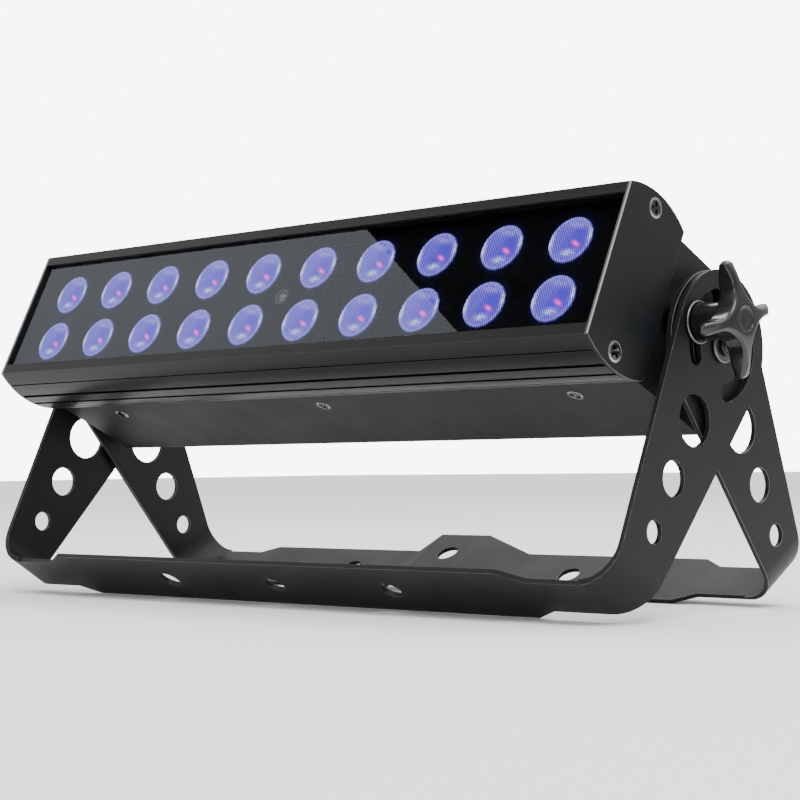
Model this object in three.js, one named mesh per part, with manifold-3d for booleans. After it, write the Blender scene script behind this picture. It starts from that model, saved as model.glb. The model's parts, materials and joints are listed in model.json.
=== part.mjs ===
// An ultraviolet LED batten on a folding double bracket.
//
// Units are millimetres, +Z is up and X runs along the batten. The lamp face looks towards -Y and
// up. The origin is on the floor, at the middle of the space that the standing lamp takes.
//
// Three bodies turn about one pivot line, parallel to X: the front bracket, the rear bracket and
// the lamp housing. Each is drawn in a frame of its own with that line as its X axis:
//   a bracket's legs run down its -Z, and its strip lies across them at the bottom;
//   the housing looks along its -Y. "forward" below is the distance ahead of the pivot, -Y.
import * as THREE from 'three';
import { mergeVertices } from 'three/addons/utils/BufferGeometryUtils.js';
import Module from 'manifold-3d';

const wasm = await Module();
wasm.setup();

const degrees = Math.PI / 180;
const gap = 0.3;

// ---- driving dimensions ----------------------------------------------------------------------

const ledPitch = 42;
const ledColumns = 10;
const ledRowSpacing = 31.7;
const housingTilt = 26.3 * degrees;

const sheet = 2.5;
const sheetBend = 20;
const headRadius = 36.5;
const stripHoleX = 2 * ledPitch;
const stripHoleRadius = 6.5;

const frontBracket = {
  outerX: 229.8,
  length: 141.5,
  lean: 33.7 * degrees,
  taper: 8.9 * degrees,
  holes: [[43.5, 12.75], [76, 8.75], [105, 5.75]],
  stripWide: 20.5,
  wideEnd: 165.2,
  narrowStart: 178.7,
};
const rearBracket = {
  outerX: 225.6,
  length: 137,
  taper: 9.2 * degrees,
  holes: [[45, 12.75], [77.5, 8.75], [106.5, 5.75]],
  stripWide: 19.8,
  wideEnd: 164,
  narrowStart: 176,
  bump: { foot: 42.5, top: 18.5, height: 12 },
};

const pivotScrewRadius = 3;
const pivotNeckRadius = 5;
const clampStudRadius = 4;
const clampForward = 22.8;
const slotHalfWidth = 4.8;
const frontSlotHalfSpan = 47.7 * degrees;
const rearSlot = { from: 65 * degrees, to: 226.5 * degrees };

// The housing's middle plane passes a little above the pivot, and the lenses a little below it.
const middleAbovePivot = 1;
const lensDrop = 1;

const face = 85.2;
const barrelRear = 38.6;
const barrelCorner = 40.25;
const barrelApex = 46.15;
const extrusionEnd = 218.2;
const endPlate = 2;

const lipEdge = 34.6;
const lipThickness = 2;
const glassThickness = 2.5;
const gasketThickness = 1.5;
const channelHalf = 38.2;
const shelf = face - lipThickness - glassThickness - gasketThickness - 3 * gap;
const webFront = 63.4;
const webThickness = 3;
const boardThickness = 1.6;
const emitterHeight = 2.2;

const lensRadius = 12.7;
const lensNeck = 11.6;
const lensBase = 6;
const lensFlange = 2.7;
const lensFront = 80;
const holderFront = 79.2;
const holderRear = 74.5;

const boxHalfX = 215.7;
const boxHalfZ = 39.3;
const boxFront = barrelRear - gap;
const boxRear = -21;
const boxWall = 1.5;

const tabOuter = boxHalfZ - boxWall - gap;
const tabThickness = 2.5;
const tabRear = 18;

const plateScrew = { forward: 63.7, height: 38.3, head: 4.8, shank: 2.5, length: 14 };
const coverScrew = { forward: 26, spacing: 172, head: 4.1, shank: 2, length: 7 };

// ---- geometry helpers ------------------------------------------------------------------------

// Makes a manifold solid from a closed geometry, whichever way its faces were wound.
function solid(geometry) {
  const bare = geometry.clone();
  bare.deleteAttribute('normal');
  bare.deleteAttribute('uv');
  const merged = mergeVertices(bare, 1e-4);
  const index = merged.index.array;
  const position = merged.attributes.position;
  const corner = [new THREE.Vector3(), new THREE.Vector3(), new THREE.Vector3()];
  const triangles = [];
  let volume = 0;
  for (let i = 0; i < index.length; i += 3) {
    const [a, b, c] = [index[i], index[i + 1], index[i + 2]];
    if (a === b || b === c || c === a) continue;
    triangles.push([a, b, c]);
    [a, b, c].forEach((vertex, k) => corner[k].fromBufferAttribute(position, vertex));
    volume += corner[0].dot(corner[1].cross(corner[2]));
  }
  const wound = volume < 0 ? triangles.map(([a, b, c]) => [a, c, b]) : triangles;
  return new wasm.Manifold(new wasm.Mesh({
    numProp: 3,
    vertProperties: new Float32Array(position.array),
    triVerts: new Uint32Array(wound.flat()),
  }));
}

function surface(body) {
  const mesh = body.getMesh();
  const geometry = new THREE.BufferGeometry();
  geometry.setAttribute('position', new THREE.BufferAttribute(mesh.vertProperties, 3));
  geometry.setIndex(new THREE.BufferAttribute(mesh.triVerts, 1));
  geometry.computeVertexNormals();
  return geometry;
}

const join = (...bodies) => bodies.reduce((whole, body) => whole.add(body));
const cut = (body, ...tools) => tools.reduce((rest, tool) => rest.subtract(tool), body);

const point = (x, y) => new THREE.Vector2(x, y);

// Extrudes a shape drawn in two axes along the third. A shape across X is drawn in (y, z), one
// across Y in (x, z) and one across Z in (x, y).
const frames = {
  X: new THREE.Matrix4().makeBasis(
    new THREE.Vector3(0, 1, 0), new THREE.Vector3(0, 0, 1), new THREE.Vector3(1, 0, 0)),
  Y: new THREE.Matrix4().makeBasis(
    new THREE.Vector3(1, 0, 0), new THREE.Vector3(0, 0, 1), new THREE.Vector3(0, -1, 0)),
  Z: new THREE.Matrix4(),
};

function prism(shape, axis, from, to, curveSegments = 8) {
  const geometry = new THREE.ExtrudeGeometry(shape, {
    depth: to - from, bevelEnabled: false, curveSegments,
  });
  const start = axis === 'Y' ? -to : from;
  return solid(geometry.translate(0, 0, start).applyMatrix4(frames[axis]));
}

function disc(x, y, radius) {
  const shape = new THREE.Shape();
  shape.absarc(x, y, radius, 0, 2 * Math.PI, false);
  return shape;
}

function rectangle(x0, x1, y0, y1) {
  return new THREE.Shape([point(x0, y0), point(x1, y0), point(x1, y1), point(x0, y1)]);
}

function block(x0, x1, y0, y1, z0, z1) {
  return prism(rectangle(x0, x1, y0, y1), 'Z', z0, z1);
}

// Turns a profile of [radius, distance] pairs. The distance runs along +X, +Z or -Y (forward).
function turned(profile, segments, along = 'X') {
  const geometry = new THREE.LatheGeometry(profile.map(([r, h]) => point(r, h)), segments);
  if (along === 'X') geometry.rotateZ(-Math.PI / 2);
  else if (along === 'forward') geometry.rotateX(Math.PI);
  else if (along === 'Z') geometry.rotateX(Math.PI / 2);
  return solid(geometry);
}

// ---- materials -------------------------------------------------------------------------------

const finish = (color, roughness, metalness) =>
  new THREE.MeshStandardMaterial({ color, roughness, metalness });

const powderCoat = finish(0x33363a, 0.55, 0.3);
const anodised = finish(0x1c1d20, 0.35, 0.7);
const coverPaint = finish(0x2a2b2c, 0.6, 0.3);
const blackGlass = finish(0x0a0b12, 0.05, 0);
const blackRubber = finish(0x101010, 0.9, 0);
const blackPlastic = finish(0x141416, 0.35, 0);
const lensPlastic = finish(0x5a4dff, 0.2, 0);
const boardWhite = finish(0xe6e6e2, 0.5, 0);
const boardGreen = finish(0x1f5a35, 0.5, 0);
const nickel = finish(0xb8b6b0, 0.25, 1);
const blackSteel = finish(0x222224, 0.4, 0.8);
const greyResin = finish(0x6a6a70, 0.3, 0);

// ---- scene graph -----------------------------------------------------------------------------

const pivotHeight = frontBracket.length * Math.cos(frontBracket.lean)
  + frontBracket.stripWide * Math.sin(frontBracket.lean);

// The rear bracket leans until the inner edge of its strip is on the floor as well.
const rearCorner = Math.hypot(rearBracket.length, rearBracket.stripWide);
const rearLean = Math.atan2(rearBracket.stripWide, rearBracket.length)
  + Math.acos(pivotHeight / rearCorner);

// How far a strip's outer edge is from the pivot, along the floor.
const stripReach = ({ length, stripWide }, lean) =>
  length * Math.sin(lean) + stripWide * Math.cos(lean);
const frontReach = stripReach(frontBracket, frontBracket.lean);
const rearReach = stripReach(rearBracket, rearLean);

const lamp = new THREE.Group();
lamp.position.set(0, (frontReach - rearReach) / 2, pivotHeight);

function turnedGroup(angle) {
  const group = new THREE.Group();
  group.rotation.x = angle;
  lamp.add(group);
  return group;
}

const frontFrame = turnedGroup(-frontBracket.lean);
const rearFrame = turnedGroup(rearLean);
const housingAxis = turnedGroup(-housingTilt);
const housing = new THREE.Group();
housing.position.z = middleAbovePivot;
housingAxis.add(housing);

function place(group, name, body, material, x = 0, y = 0, z = 0) {
  const mesh = new THREE.Mesh(surface(body), material);
  mesh.name = name;
  mesh.position.set(x, y, z);
  group.add(mesh);
  return mesh;
}

// ---- brackets --------------------------------------------------------------------------------

// The bent sheet seen from the front, as a band of constant thickness.
function sheetBand({ outerX, length, bump }) {
  const top = headRadius + 5;
  const innerX = outerX - sheet;
  const foot = -length;
  const turn = bump ? Math.atan2(bump.height, bump.foot - bump.top) : 0;
  const setIn = sheet * Math.tan(turn / 2);
  const shape = new THREE.Shape();
  shape.moveTo(outerX, top);
  shape.lineTo(outerX, foot + sheetBend);
  shape.absarc(outerX - sheetBend, foot + sheetBend, sheetBend, 0, -Math.PI / 2, true);
  if (bump) {
    for (const [x, rise] of [[bump.foot, 0], [bump.top, bump.height],
      [-bump.top, bump.height], [-bump.foot, 0]]) {
      shape.lineTo(x - Math.sign(x) * setIn, foot + rise);
    }
  }
  shape.absarc(-outerX + sheetBend, foot + sheetBend, sheetBend, -Math.PI / 2, -Math.PI, true);
  shape.lineTo(-outerX, top);
  shape.lineTo(-innerX, top);
  shape.absarc(-outerX + sheetBend, foot + sheetBend, sheetBend - sheet,
    -Math.PI, -Math.PI / 2, false);
  if (bump) {
    for (const [x, rise] of [[-bump.foot, 0], [-bump.top, bump.height],
      [bump.top, bump.height], [bump.foot, 0]]) {
      shape.lineTo(x, foot + sheet + rise);
    }
  }
  shape.absarc(outerX - sheetBend, foot + sheetBend, sheetBend - sheet, -Math.PI / 2, 0, false);
  shape.lineTo(innerX, top);
  return prism(shape, 'Y', -headRadius - 5, headRadius + 5, 6);
}

// Half the width of a leg after a run down the sheet, which carries on around the bend.
const legHalfWidth = ({ taper }, run) => headRadius / Math.cos(taper) - Math.tan(taper) * run;

// A leg seen from the side: a round head with sides that draw in down to the strip.
function legOutline(bracket) {
  const { length, taper } = bracket;
  const bendStart = length - sheetBend;
  const steps = 6;
  const side = [];
  for (let i = 0; i <= steps; i += 1) {
    const angle = (i / steps) * (Math.PI / 2);
    side.push(point(legHalfWidth(bracket, bendStart + sheetBend * angle),
      -bendStart - sheetBend * Math.sin(angle)));
  }
  const shape = new THREE.Shape();
  shape.moveTo(side[steps].x, side[steps].y - 1);
  for (const { x, y } of [...side].reverse()) shape.lineTo(x, y);
  shape.absarc(0, 0, headRadius, -taper, Math.PI + taper, false);
  for (const { x, y } of side) shape.lineTo(-x, y);
  shape.lineTo(-side[steps].x, side[steps].y - 1);
  return shape;
}

// The strip seen along the legs: wide in the middle, drawn in towards the bends.
function stripOutline(bracket) {
  const { outerX, length, stripWide, wideEnd, narrowStart } = bracket;
  const end = outerX - sheetBend + 0.01;
  const stripNarrow = legHalfWidth(bracket, length - sheetBend + (sheetBend * Math.PI) / 2);
  const half = [[end, stripNarrow], [narrowStart, stripNarrow], [wideEnd, stripWide],
    [-wideEnd, stripWide], [-narrowStart, stripNarrow], [-end, stripNarrow]];
  return new THREE.Shape([
    ...half.map(([x, y]) => point(x, y)),
    ...half.map(([x, y]) => point(x, -y)).reverse(),
  ]);
}

// A slot that follows a circle about the pivot, with round ends, drawn in (y, z).
function arcSlot(from, to) {
  const outer = clampForward + slotHalfWidth;
  const inner = clampForward - slotHalfWidth;
  const shape = new THREE.Shape();
  const end = (angle) => [clampForward * Math.cos(angle), clampForward * Math.sin(angle)];
  shape.moveTo(inner * Math.cos(from), inner * Math.sin(from));
  shape.absarc(...end(from), slotHalfWidth, from + Math.PI, from + 2 * Math.PI, false);
  shape.absarc(0, 0, outer, from, to, false);
  shape.absarc(...end(to), slotHalfWidth, to, to + Math.PI, false);
  shape.absarc(0, 0, inner, to, from, true);
  return shape;
}

function bracketBody(bracket, pivotRadius, slots) {
  const { outerX, length, holes } = bracket;
  const bendEnd = outerX - sheetBend;
  const beyond = outerX + 1;
  const outline = join(
    prism(legOutline(bracket), 'X', bendEnd, beyond, 12),
    prism(legOutline(bracket), 'X', -beyond, -bendEnd, 12),
    prism(stripOutline(bracket), 'Z', -length - 1, 0),
  );
  const legHoles = holes.map(([down, radius]) =>
    prism(disc(0, -down, radius), 'X', -beyond, beyond, 10));
  const stripHoles = [-stripHoleX, 0, stripHoleX].map((x) =>
    prism(disc(x, 0, stripHoleRadius), 'Z', -length - 1, -length + 2 * headRadius, 8));
  const pivotHole = prism(disc(0, 0, pivotRadius + gap), 'X', -beyond, beyond, 8);
  const slotTools = slots.map(([from, to]) => prism(arcSlot(from, to), 'X', -beyond, beyond, 10));
  const blank = sheetBand(bracket).intersect(outline);
  return cut(blank, pivotHole, ...legHoles, ...stripHoles, ...slotTools);
}

const frontSlots = [0, Math.PI].map((middle) =>
  [middle - frontSlotHalfSpan, middle + frontSlotHalfSpan]);
place(frontFrame, 'front_bracket',
  bracketBody(frontBracket, pivotScrewRadius, frontSlots), powderCoat);
place(rearFrame, 'rear_bracket',
  bracketBody(rearBracket, pivotNeckRadius, [[rearSlot.from, rearSlot.to]]), powderCoat);

// ---- housing section -------------------------------------------------------------------------

const barrelMiddle = (face + barrelRear) / 2;
const barrelHalfDepth = (face - barrelRear) / 2;
const barrelRise = barrelApex - barrelCorner;
const barrelRadius = (barrelHalfDepth ** 2 + barrelRise ** 2) / (2 * barrelRise);
const barrelHeight = (forward) => barrelApex - barrelRadius
  + Math.sqrt(barrelRadius ** 2 - (forward - barrelMiddle) ** 2);

function curve(from, to, steps, height) {
  return Array.from({ length: steps + 1 }, (_, i) => {
    const forward = from + ((to - from) * i) / steps;
    return [forward, height(forward)];
  });
}

// An outline given by the [forward, height] points of its upper half, completed by its mirror
// image and drawn in (y, z).
function mirrored(upper) {
  const lower = upper.map(([forward, height]) => [forward, -height]).reverse();
  return new THREE.Shape([...upper, ...lower].map(([forward, height]) => point(-forward, height)));
}

const endPlateOutline = () => mirrored(curve(face, barrelRear, 14, barrelHeight));

// A countersunk screw: the head's face is at 0 and the shank runs to -length. The face is domed.
function countersunk({ head, shank, length }, along, segments = 12) {
  const depth = head - shank;
  return turned([[0, -length], [shank, -length], [shank, -depth], [head, 0], [head * 0.6, 0.5],
    [0, 0.6]], segments, along);
}

// The hole that such a screw sits in, with clearance all round, down to `length`.
function countersink({ head, shank }, length, along, segments = 12) {
  const depth = head - shank;
  const over = 1;
  return turned([[0, -length], [shank + gap, -length], [shank + gap, -depth],
    [head + gap + over, over], [0, over]], segments, along);
}

const coverScrewSites = [[1, 'upper'], [-1, 'lower']].flatMap(([side, row]) =>
  [[-1, 'left'], [0, 'middle'], [1, 'right']].map(([k, hand]) => ({
    x: k * coverScrew.spacing, side, name: `cover_screw_${row}_${hand}`,
  })));

const coverSink = (side) => {
  const tool = countersink(coverScrew, coverScrew.length, 'Z');
  return side > 0 ? tool : tool.rotate([180, 0, 0]);
};

// A groove along the curved wall, on the top and on the bottom.
function grooves(forward, width, depth) {
  const floor = barrelHeight(forward) - depth;
  const [y0, y1] = [-forward - width / 2, -forward + width / 2];
  const reach = extrusionEnd + 1;
  return [
    block(-reach, reach, y0, y1, floor, barrelApex + 1),
    block(-reach, reach, y0, y1, -barrelApex - 1, -floor),
  ];
}

function extrusionBody() {
  const wall = 4.4;
  const webRear = webFront - webThickness;
  const innerWall = (forward) => barrelHeight(forward) - wall;
  const pocket = 33.4;
  const contour = mirrored([
    [webFront, pocket],
    [shelf, pocket],
    [shelf, channelHalf],
    [face - lipThickness, channelHalf],
    [face - lipThickness, lipEdge],
    [face, lipEdge],
    ...curve(face, barrelRear, 14, barrelHeight),
    [barrelRear, tabOuter],
    [tabRear, tabOuter],
    [tabRear, tabOuter - tabThickness],
    [barrelRear + 2, tabOuter - tabThickness],
    ...curve(barrelRear + 6, webRear, 4, innerWall),
  ]);
  // mirrored() joins the upper half to the lower half at the web's rear face and closes the
  // outline at its front face, which leaves the web standing between the two.
  const profile = prism(contour, 'X', -extrusionEnd, extrusionEnd);
  const chamber = [[68.5, 36], [75.5, 36], [75.5, barrelHeight(75.5) - 2.6],
    [68.5, barrelHeight(68.5) - 2.6]];
  const reach = extrusionEnd + 1;
  const along = (outline) => prism(outline, 'X', -reach, reach, 6);
  const chambers = [1, -1].map((side) =>
    along(new THREE.Shape(chamber.map(([forward, height]) => point(-forward, side * height)))));
  const screwChannels = [1, -1].map((side) =>
    along(disc(-plateScrew.forward, side * plateScrew.height, plateScrew.shank + gap)));
  const tabEnds = [1, -1].map((side) => {
    const inner = boxHalfX - boxWall - gap;
    const [x0, x1] = [Math.min(side * inner, side * reach), Math.max(side * inner, side * reach)];
    return block(x0, x1, -barrelRear + 0.001, 0, -boxHalfZ, boxHalfZ);
  });
  const tabHoles = coverScrewSites.map(({ x, side }) =>
    coverSink(side).translate([x, -coverScrew.forward, side * boxHalfZ]));
  const wireHole = prism(disc(2 * ledPitch, 0, 5), 'Y', -webFront - 1, -webRear + 1, 8);
  return cut(profile, ...chambers, ...screwChannels, ...tabEnds, ...tabHoles, wireHole,
    ...grooves(76.2, 0.8, 0.8), ...grooves(65.5, 2.2, 2.4), ...grooves(56.2, 2.2, 2.4),
    ...grooves(46.5, 0.8, 0.8));
}

place(housing, 'housing_extrusion', extrusionBody(), anodised);

for (const [side, hand] of [[1, 'right'], [-1, 'left']]) {
  const turn = side > 0 ? 0 : Math.PI;
  const plate = prism(endPlateOutline(), 'X', 0, endPlate);
  const sinks = [1, -1].map((level) => countersink(plateScrew, endPlate + 1, 'X')
    .translate([endPlate, -plateScrew.forward, level * plateScrew.height]));
  place(housing, `end_plate_${hand}`, cut(plate, ...sinks), powderCoat,
    side * (extrusionEnd + gap)).rotation.y = turn;
  for (const [level, row] of [[1, 'upper'], [-1, 'lower']]) {
    place(housing, `end_plate_screw_${hand}_${row}`, countersunk(plateScrew, 'X'), nickel,
      side * (extrusionEnd + gap + endPlate), -plateScrew.forward,
      level * plateScrew.height).rotation.y = turn;
  }
}

// ---- window, lenses and LED board ------------------------------------------------------------

const windowHalfX = extrusionEnd - gap;
const glassFront = face - lipThickness - gap;
const glassRear = glassFront - glassThickness;
const gasketFront = glassRear - gap;
const gasketRear = gasketFront - gasketThickness;

// A plate across the face, between two distances ahead of the pivot.
const facePlate = (halfX, halfZ, front, rear) =>
  block(-halfX, halfX, -front, -rear, -halfZ, halfZ);

place(housing, 'glass_window',
  facePlate(windowHalfX, channelHalf - gap, glassFront, glassRear), blackGlass);

const gasketInner = { halfX: windowHalfX - 4, halfZ: lipEdge - 0.7 };
place(housing, 'window_gasket', cut(
  facePlate(windowHalfX, channelHalf - gap, gasketFront, gasketRear),
  facePlate(gasketInner.halfX, gasketInner.halfZ, gasketFront + 1, gasketRear - 1),
), blackRubber);

const lensSites = [[1, 'upper'], [-1, 'lower']].flatMap(([level, row]) =>
  Array.from({ length: ledColumns }, (_, column) => ({
    x: (column - (ledColumns - 1) / 2) * ledPitch,
    z: (level * ledRowSpacing) / 2 - lensDrop,
    name: `lens_${row}_${String(column + 1).padStart(2, '0')}`,
  })));

const boardRear = webFront + gap;
const boardFront = boardRear + boardThickness;
const holder = { halfX: gasketInner.halfX - gap, halfZ: 33 };
const postRadius = 2.5;
const postX = [-4, -2, 2, 4].map((k) => k * ledPitch);
const postZ = [ledRowSpacing, 0, -ledRowSpacing].map((z) => z * 0.85 - lensDrop);
const receiverRadius = 3.2;

function rod(x, z, radius, front, rear, segments = 12) {
  const profile = [[0, rear], [radius, rear], [radius, front], [0, front]];
  return turned(profile, segments, 'forward').translate([x, 0, z]);
}

const emitters = lensSites.map(({ x, z }) =>
  block(x - 2.5, x + 2.5, -boardFront - emitterHeight, -boardFront + 0.5, z - 2.5, z + 2.5));
place(housing, 'led_board',
  join(facePlate(214, 31, boardFront, boardRear).translate([0, 0, -lensDrop]), ...emitters),
  boardWhite);

const posts = postX.flatMap((x) =>
  postZ.map((z) => rod(x, z, postRadius, holderRear + 0.5, boardFront + gap, 8)));

// A lens's seat: the neck passes through, and the flange rests in a step that it nearly fills.
const flangeRear = lensFront - lensFlange;
const lensSeat = turned([
  [0, holderRear - 1],
  [lensNeck + gap, holderRear - 1],
  [lensNeck + gap, flangeRear - gap],
  [lensRadius + gap, flangeRear - gap],
  [lensRadius + gap, holderFront + 1],
  [0, holderFront + 1],
], 16, 'forward');
const receiverSeat = rod(0, -lensDrop, receiverRadius + gap, holderFront + 1, holderRear - 1);
place(housing, 'lens_holder',
  cut(join(facePlate(holder.halfX, holder.halfZ, holderFront, holderRear), ...posts),
    ...lensSites.map(({ x, z }) => lensSeat.translate([x, 0, z])), receiverSeat), blackPlastic);

const lensBody = turned([
  [0, boardFront + emitterHeight + 0.4],
  [lensBase, boardFront + emitterHeight + 0.4],
  [lensNeck, flangeRear],
  [lensRadius, flangeRear],
  [lensRadius, lensFront],
  [0, lensFront],
], 16, 'forward');
for (const { x, z, name } of lensSites) place(housing, name, lensBody, lensPlastic, x, 0, z);

place(housing, 'ir_receiver',
  turned([[0, boardFront + gap], [receiverRadius, boardFront + gap], [receiverRadius, 77.4],
    [receiverRadius * 0.7, 79.2], [0, 79.9]], 12, 'forward'), greyResin, 0, 0, -lensDrop);

// ---- rear housing ----------------------------------------------------------------------------

const wallInnerX = boxHalfX - boxWall;
const wallInnerZ = boxHalfZ - boxWall;
const innerRear = boxRear + boxWall;
const bossEnd = 204;
const boss = {
  radius: 7.5, pivot: [0, -middleAbovePivot], clamp: [clampForward, -middleAbovePivot],
};

const inlet = { x: -150, z: 0, halfX: 13.6, halfZ: 10, flangeX: 15.7, flangeZ: 12.5, depth: 18 };
const outlet = { ...inlet, x: 150 };
const powerSwitch = {
  x: -112, z: 0, halfX: 6.4, halfZ: 9.5, flangeX: 7.5, flangeZ: 10.8, depth: 12,
};

const standoffs = [-80, 115].flatMap((x) => [-21, 21].map((z) => [x, z]));
const driver = { rear: boxRear + boxWall + 4, x0: -90, x1: 125, halfZ: 26 };

// A box section open to the front, with its rear corners rounded as bent sheet is.
function boxOutline(halfZ, rear, front, radius) {
  const shape = new THREE.Shape();
  shape.moveTo(-front, -halfZ);
  shape.lineTo(-rear - radius, -halfZ);
  shape.absarc(-rear - radius, -halfZ + radius, radius, -Math.PI / 2, 0, false);
  shape.lineTo(-rear, halfZ - radius);
  shape.absarc(-rear - radius, halfZ - radius, radius, 0, Math.PI / 2, false);
  shape.lineTo(-front, halfZ);
  return shape;
}

// A hole through the rear wall, around a socket's body.
const rearCutout = ({ x, z, halfX, halfZ }) => block(x - halfX - gap, x + halfX + gap,
  -innerRear - 1, -boxRear + 1, z - halfZ - gap, z + halfZ + gap);

function rearHousingBody() {
  const outside = prism(boxOutline(boxHalfZ, boxRear, boxFront, 3), 'X', -boxHalfX, boxHalfX, 3);
  const inside = prism(boxOutline(wallInnerZ, innerRear, boxFront + 1, 3 - boxWall),
    'X', -wallInnerX, wallInnerX, 3);
  const bosses = [1, -1].flatMap((side) => [boss.pivot, boss.clamp].map(([forward, z]) => {
    const span = [side * bossEnd, side * (wallInnerX + 0.5)].sort((a, b) => a - b);
    return prism(disc(-forward, z, boss.radius), 'X', ...span, 10);
  }));
  const pegs = standoffs.map(([x, z]) => rod(x, z, 3, driver.rear - gap, innerRear - 0.5));
  const bores = [
    prism(disc(0, -middleAbovePivot, pivotScrewRadius + gap), 'X', -boxHalfX - 1, boxHalfX + 1, 8),
    prism(disc(-clampForward, -middleAbovePivot, clampStudRadius + gap),
      'X', -boxHalfX - 1, boxHalfX + 1, 8),
  ];
  const sinks = coverScrewSites.map(({ x, side }) =>
    coverSink(side).translate([x, -coverScrew.forward, side * boxHalfZ]));
  return cut(join(cut(outside, inside), ...bosses, ...pegs), ...bores, ...sinks,
    rearCutout(inlet), rearCutout(outlet), rearCutout(powerSwitch));
}

place(housing, 'rear_housing', rearHousingBody(), coverPaint);

for (const { x, side, name } of coverScrewSites) {
  place(housing, name, countersunk(coverScrew, 'Z'), nickel,
    x, -coverScrew.forward, side * boxHalfZ).rotation.x = side > 0 ? 0 : Math.PI;
}

// The driver board, clear of the sockets. Its larger parts are blocks [x0, x1, z0, z1, height],
// for the transformer, the heat sink and the terminals, and capacitors [x, z, radius, height].
const driverFront = driver.rear + boardThickness;
const driverBlocks = [[-22, 14, -18, 16, 24], [34, 64, -22, -14, 22], [88, 108, -12, 14, 12]];
const capacitors = [[-62, 8, 9, 26], [-40, -10, 6, 18], [48, 8, 8, 20]];
place(housing, 'driver_board', join(
  block(driver.x0, driver.x1, -driverFront, -driver.rear, -driver.halfZ, driver.halfZ),
  ...driverBlocks.map(([x0, x1, z0, z1, height]) =>
    block(x0, x1, -driverFront - height, -driverFront + 0.5, z0, z1)),
  ...capacitors.map(([x, z, radius, height]) =>
    rod(x, z, radius, driverFront + height, driverFront - 0.5, 16)),
), boardGreen);

// ---- mains inlet, mains outlet and switch ----------------------------------------------------

const socketFlange = 2;
const flangeFront = boxRear - gap;
const socketRear = -flangeFront + socketFlange;
const recessDepth = 15;
const pinSetBack = 5.5;
const recess = { halfX: 11.9, halfZ: 8.2, corner: 4.5 };
const plug = { halfX: 10.2, halfZ: 6.5, corner: 3.8 };

// A mains socket's outline: a rectangle with its two upper corners cut off.
function socketOutline({ halfX, halfZ, corner }) {
  return new THREE.Shape([
    point(-halfX, -halfZ),
    point(halfX, -halfZ),
    point(halfX, halfZ - corner),
    point(halfX - corner, halfZ),
    point(-halfX + corner, halfZ),
    point(-halfX, halfZ - corner),
  ]);
}

// A socket's body with its flange outside the rear wall, and a recess for the mating connector.
function socketBody({ halfX, halfZ, flangeX, flangeZ, depth }) {
  const body = block(-halfX, halfX, -boxRear - depth, -flangeFront + 0.5, -halfZ, halfZ);
  const flange = block(-flangeX, flangeX, -flangeFront, -flangeFront + socketFlange,
    -flangeZ, flangeZ);
  return cut(join(body, flange),
    prism(socketOutline(recess), 'Y', socketRear - recessDepth, socketRear + 1));
}

const contacts = [[-7, -1.8], [0, 1.8], [7, -1.8]];
const pin = { halfX: 1, halfZ: 2 };
const pinSlot = { halfX: 1.3, halfZ: 2.4 };

const pins = contacts.map(([x, z]) =>
  block(x - pin.halfX, x + pin.halfX, socketRear - recessDepth - 1, socketRear - pinSetBack,
    z - pin.halfZ, z + pin.halfZ));
place(housing, 'power_inlet',
  join(socketBody(inlet), ...pins),
  blackPlastic, inlet.x, 0, inlet.z);

const plateau = prism(socketOutline(plug), 'Y',
  socketRear - recessDepth - 1, socketRear - 1);
const contactSlots = contacts.map(([x, z]) =>
  block(x - pinSlot.halfX, x + pinSlot.halfX, socketRear - recessDepth, socketRear + 1,
    z - pinSlot.halfZ, z + pinSlot.halfZ));
place(housing, 'power_outlet',
  cut(join(socketBody(outlet), plateau), ...contactSlots),
  blackPlastic, outlet.x, 0, outlet.z);

const rockerPocket = { halfX: 5.6, halfZ: 8.8, depth: 8 };
const bezelRear = -flangeFront + 1.5;
place(housing, 'switch_bezel', cut(
  join(
    block(-powerSwitch.halfX, powerSwitch.halfX, -boxRear - powerSwitch.depth,
      -flangeFront + 0.5, -powerSwitch.halfZ, powerSwitch.halfZ),
    block(-powerSwitch.flangeX, powerSwitch.flangeX, -flangeFront, bezelRear,
      -powerSwitch.flangeZ, powerSwitch.flangeZ),
  ),
  block(-rockerPocket.halfX, rockerPocket.halfX, bezelRear - rockerPocket.depth, bezelRear + 1,
    -rockerPocket.halfZ, rockerPocket.halfZ),
), blackPlastic, powerSwitch.x, 0, powerSwitch.z);

// The rocker turns about a line parallel to X, and rests with its lower half pressed in.
const rockerThrow = 20 * degrees;
const rockerHalfX = rockerPocket.halfX - gap;
const rockerOutline = new THREE.Shape([[-3.5, -5.5], [2.4, -7.9], [1.5, 0], [2.4, 7.9],
  [-3.5, 5.5]].map(([y, z]) => point(y, z)));
place(housing, 'switch_rocker', prism(rockerOutline, 'X', -rockerHalfX, rockerHalfX),
  blackPlastic, powerSwitch.x, bezelRear - 1.6, powerSwitch.z).rotation.x = -rockerThrow / 2;

// ---- pivot and clamp -------------------------------------------------------------------------

const rearInnerX = rearBracket.outerX - sheet;
const frontInnerX = frontBracket.outerX - sheet;
const washerInnerX = frontBracket.outerX + gap;
const washerThickness = 1.5;
const washerOuterX = washerInnerX + washerThickness;
const spacerRadius = 9;
const pivotWasherRadius = 8.8;
const knobWasherRadius = 10.5;
const shankEnd = bossEnd + 2;

function ring(inner, outer, from, to) {
  return turned([[inner, from], [outer, from], [outer, to], [inner, to], [inner, from]], 20);
}

// The shoulder bush that the rear bracket turns on: a spacer with a neck through the sheet.
const pivotBush = turned([
  [pivotScrewRadius + gap, boxHalfX + gap],
  [spacerRadius, boxHalfX + gap],
  [spacerRadius, rearInnerX - gap],
  [pivotNeckRadius, rearInnerX - gap],
  [pivotNeckRadius, frontInnerX - gap],
  [pivotScrewRadius + gap, frontInnerX - gap],
  [pivotScrewRadius + gap, boxHalfX + gap],
], 16);

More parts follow.
